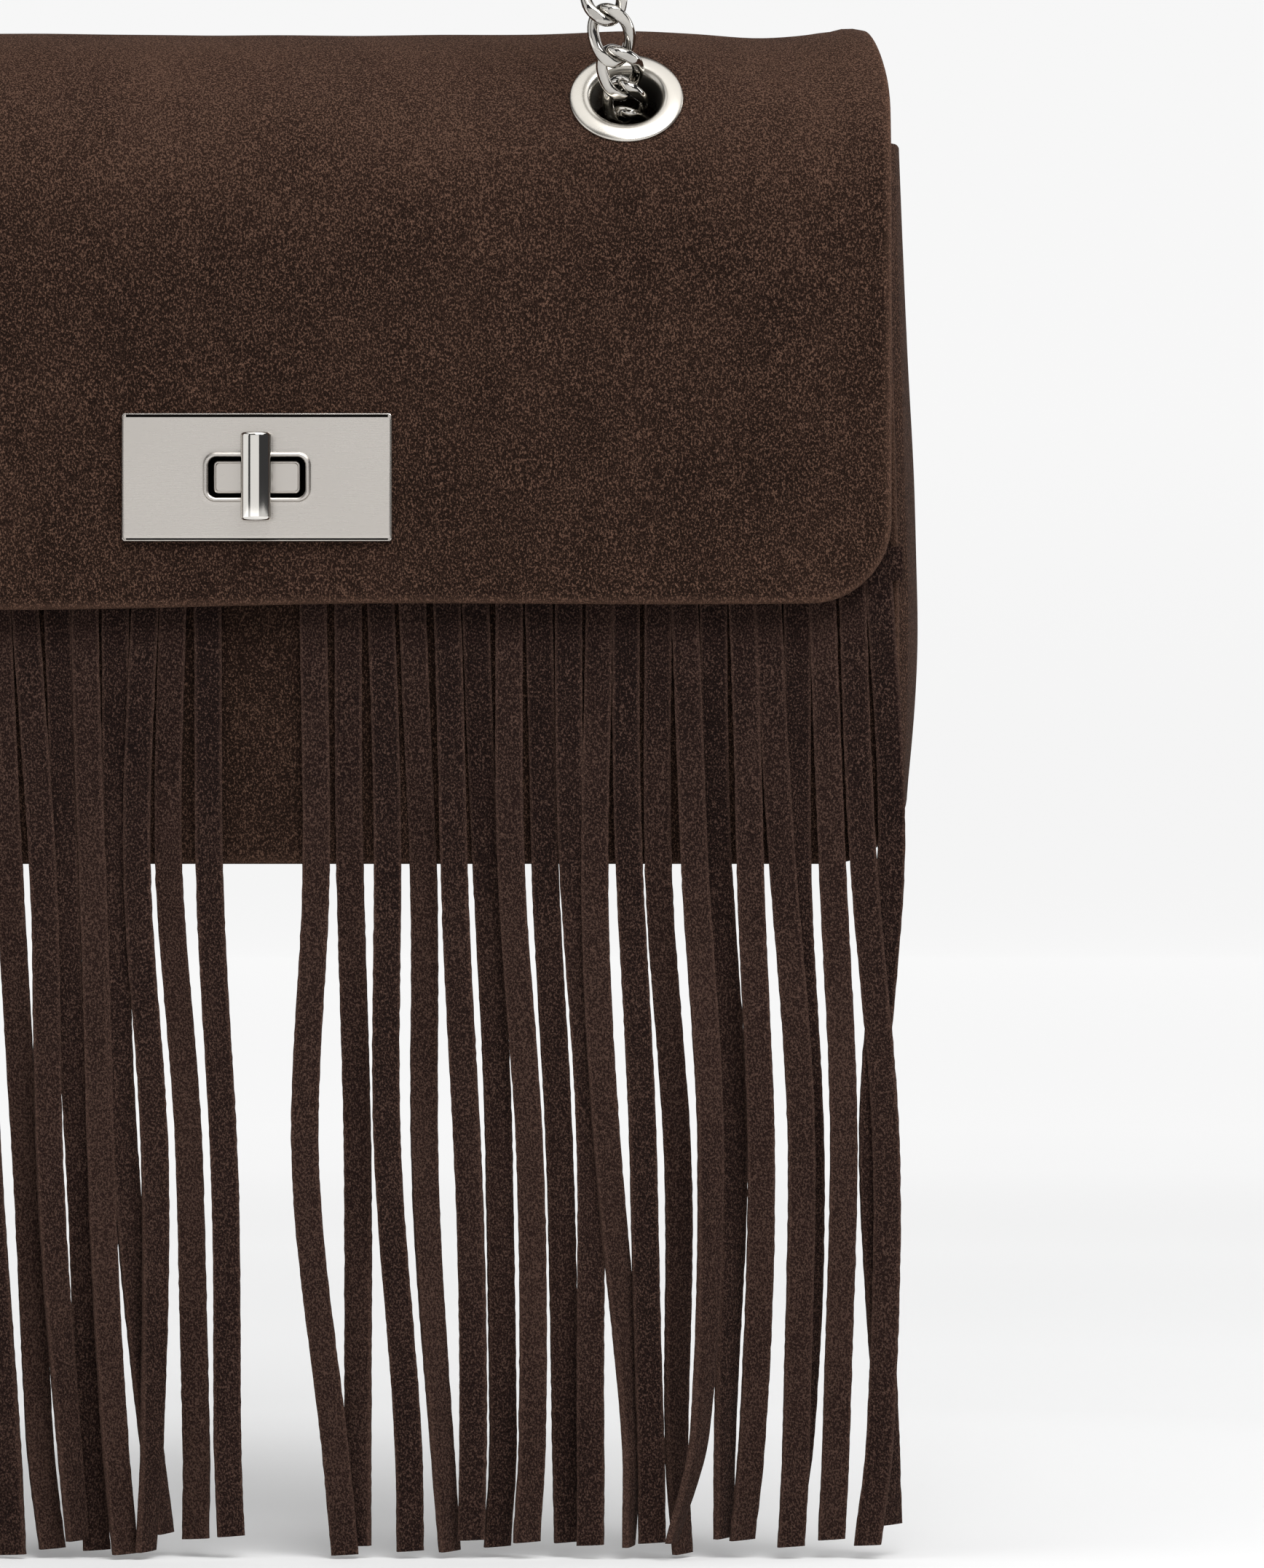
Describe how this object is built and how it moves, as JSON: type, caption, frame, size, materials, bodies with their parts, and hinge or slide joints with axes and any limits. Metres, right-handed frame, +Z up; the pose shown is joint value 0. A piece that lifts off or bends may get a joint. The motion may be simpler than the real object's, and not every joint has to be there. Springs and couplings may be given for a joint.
{
  "type": "shoulder bag",
  "caption": "Suede shoulder bag with a turn-lock flap, a long fringe of cut strips in two halves, and a metal chain strap through eyelets.",
  "frame": {"origin": "underside of the chain strap's top bend, on the bag's middle plane, where a hook or a shoulder carries the bag", "axes": "+Z up, -Y towards the flap and the fringe, +X to the viewer's right when looking at the front"},
  "size_m": [0.2596, 0.0853, 0.5523],
  "materials": {
    "suede": "short nap suede, chocolate brown, mottled",
    "fringe_suede": "short nap suede strips with raw cut edges",
    "lining_cloth": "plain woven lining",
    "board": "pressed fibre board",
    "satin_nickel": "fine brushed nickel plate with polished edges",
    "polished_nickel": "polished nickel plate",
    "plated_steel": "zinc plated steel, hidden fittings"
  },
  "bodies": {
    "bag": {"back_and_flap": "suede", "flap_stiffener": "board", "flap_lining": "suede", "front_panel": "suede", "gusset": "suede", "base_board": "board", "body_lining": "lining_cloth", "fringe_left": "fringe_suede", "fringe_right": "fringe_suede", "lock_plate": "satin_nickel", "lock_back_plate": "plated_steel", "lock_screw_1": "plated_steel", "lock_screw_2": "plated_steel", "lock_screw_3": "plated_steel", "lock_screw_4": "plated_steel", "lock_base": "satin_nickel", "lock_base_washer": "plated_steel", "lock_spring_washer": "plated_steel", "eyelet_left": "polished_nickel", "eyelet_right": "polished_nickel", "eyelet_washer_left": "plated_steel", "eyelet_washer_right": "plated_steel", "chain_tab_left": "suede", "chain_tab_right": "suede", "chain_strap": "polished_nickel"},
    "turn_bar": {"lock_knob": "polished_nickel", "lock_retainer": "plated_steel"}
  },
  "joints": [
    {"name": "lock_turn", "type": "hinge", "parent": "bag", "child": "turn_bar", "pos_m": [0, -0.036, -0.3326], "axis": [0, -1, 0], "continuous": true}
  ]
}
